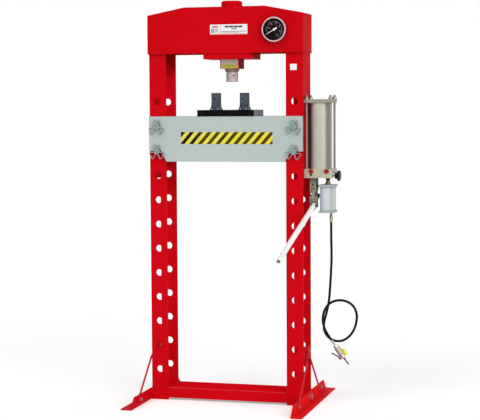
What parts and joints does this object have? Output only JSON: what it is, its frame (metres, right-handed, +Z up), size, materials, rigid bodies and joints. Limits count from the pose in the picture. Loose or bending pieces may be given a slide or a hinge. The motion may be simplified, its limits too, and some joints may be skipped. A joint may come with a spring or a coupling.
{
  "type": "hydraulic press",
  "caption": "Floor-standing two-post hydraulic press with an adjustable pinned bed, air and hand pump, pressure gauge, hand lever and air hose.",
  "frame": {"origin": "on the floor, below the middle of the frame", "axes": "+X to the right seen from the front, +Y to the back, +Z up"},
  "size_m": [0.9921, 1.0543, 1.797],
  "materials": {
    "red_paint": "gloss paint",
    "bed_paint": "satin paint",
    "zinc": "bright zinc plate",
    "fitting_dark": "black oxide",
    "screw_steel": "black oxide, worn",
    "ram_steel": "ground steel",
    "black_paint": "satin black paint",
    "cast_grey": "painted casting",
    "gauge_metal": "bright",
    "dial_black": "printed dial",
    "needle_white": "white paint",
    "gauge_glass": "clear",
    "pump_metal": "machined",
    "reservoir_silver": "drawn tube",
    "knob_black": "moulded",
    "handle_white": "white paint",
    "motor_paint": "anodised",
    "brass": "plated",
    "hose_rubber": "smooth",
    "sleeve_yellow": "moulded",
    "valve_red": "paint",
    "seal_rubber": "moulded"
  },
  "bodies": {
    "frame": {"air_hose": "hose_rubber", "air_inlet": "brass", "air_motor_body": "motor_paint", "air_motor_ends": "motor_paint", "base_fittings": "fitting_dark", "bed_back_plate": "bed_paint", "bed_front_plate": "bed_paint", "bed_spacers": "bed_paint", "bottom_crossbeam": "red_paint", "cylinder_barrel": "red_paint", "cylinder_cap": "red_paint", "cylinder_nose_block": "red_paint", "cylinder_seat_plate": "red_paint", "foot_braces": "red_paint", "foot_left": "red_paint", "foot_right": "red_paint", "frame_bolts": "zinc", "frame_webs": "red_paint", "gauge_bezel": "gauge_metal", "gauge_case": "gauge_metal", "gauge_dial": "dial_black", "gauge_glass": "gauge_glass", "gland_ring": "ram_steel", "head_back_plate": "red_paint", "head_cover": "red_paint", "head_front_plate": "red_paint", "lever_bracket": "pump_metal", "lever_link": "pump_metal", "post_left_back_plate": "red_paint", "post_left_front_plate": "red_paint", "post_right_back_plate": "red_paint", "post_right_front_plate": "red_paint", "prism_block_left": "cast_grey", "prism_block_right": "cast_grey", "pump_base_block": "pump_metal", "pump_plugs": "red_paint", "pump_top_plate": "pump_metal", "reservoir_tube": "reservoir_silver", "tie_rod_nuts": "zinc", "tie_rods": "zinc", "tooling_bars": "black_paint", "tooling_screws": "screw_steel", "valve_body": "brass", "valve_nipples": "zinc", "valve_sleeve": "sleeve_yellow"},
    "ram": {"ram": "ram_steel", "ram_nose": "ram_steel", "piston_seal": "seal_rubber"},
    "gauge_needle": {"gauge_needle": "needle_white"},
    "release_knob": {"release_knob": "knob_black", "release_spindle": "zinc"},
    "hand_lever": {"lever_socket": "pump_metal", "plunger_pin": "zinc", "lever_handle": "handle_white"},
    "pump_plunger": {"pump_plunger": "ram_steel"},
    "valve_lever": {"valve_lever": "valve_red"},
    "bed_pin_upper_left": {"bed_pin_upper_left": "zinc"},
    "bed_pin_lower_left": {"bed_pin_lower_left": "zinc"},
    "bed_pin_upper_right": {"bed_pin_upper_right": "zinc"},
    "bed_pin_lower_right": {"bed_pin_lower_right": "zinc"}
  },
  "joints": [
    {"name": "ram_slide", "type": "slide", "parent": "frame", "child": "ram", "axis": [0, 0, -1], "range_m": [0, 0.12], "stiffness_N_per_m": 2000, "springref_m": -0.1},
    {"name": "gauge_needle_turn", "type": "hinge", "parent": "frame", "child": "gauge_needle", "pos_m": [0.231, -0.095, 1.663], "axis": [0, 1, 0], "range_deg": [0, 270], "stiffness_Nm_per_rad": 0.002, "springref_deg": -17.19},
    {"name": "release_knob_turn", "type": "hinge", "parent": "frame", "child": "release_knob", "pos_m": [0.49, -0.025, 1.022], "axis": [1, 0, 0], "range_deg": [0, 180]},
    {"name": "pump_lever", "type": "hinge", "parent": "frame", "child": "hand_lever", "pos_m": [0.393, -0.038, 0.921], "axis": [-1, 0, 0], "range_deg": [0, 45]},
    {"name": "plunger_slide", "type": "slide", "parent": "frame", "child": "pump_plunger", "axis": [0, 0, -1], "range_m": [0, 0.031]},
    {"name": "valve_lever_turn", "type": "hinge", "parent": "frame", "child": "valve_lever", "pos_m": [0.50386, -0.007, 0.21044], "axis": [-0.8087, 0, -0.5882], "range_deg": [0, 90]},
    {"name": "bed_pin_upper_left_slide", "type": "slide", "parent": "frame", "child": "bed_pin_upper_left", "axis": [0, -1, 0], "range_m": [0, 0.2]},
    {"name": "bed_pin_lower_left_slide", "type": "slide", "parent": "frame", "child": "bed_pin_lower_left", "axis": [0, -1, 0], "range_m": [0, 0.2]},
    {"name": "bed_pin_upper_right_slide", "type": "slide", "parent": "frame", "child": "bed_pin_upper_right", "axis": [0, -1, 0], "range_m": [0, 0.2]},
    {"name": "bed_pin_lower_right_slide", "type": "slide", "parent": "frame", "child": "bed_pin_lower_right", "axis": [0, -1, 0], "range_m": [0, 0.2]}
  ],
  "couplings": [
    {"joint": "plunger_slide", "follows": "pump_lever", "m_per_rad": 0.0387}
  ]
}
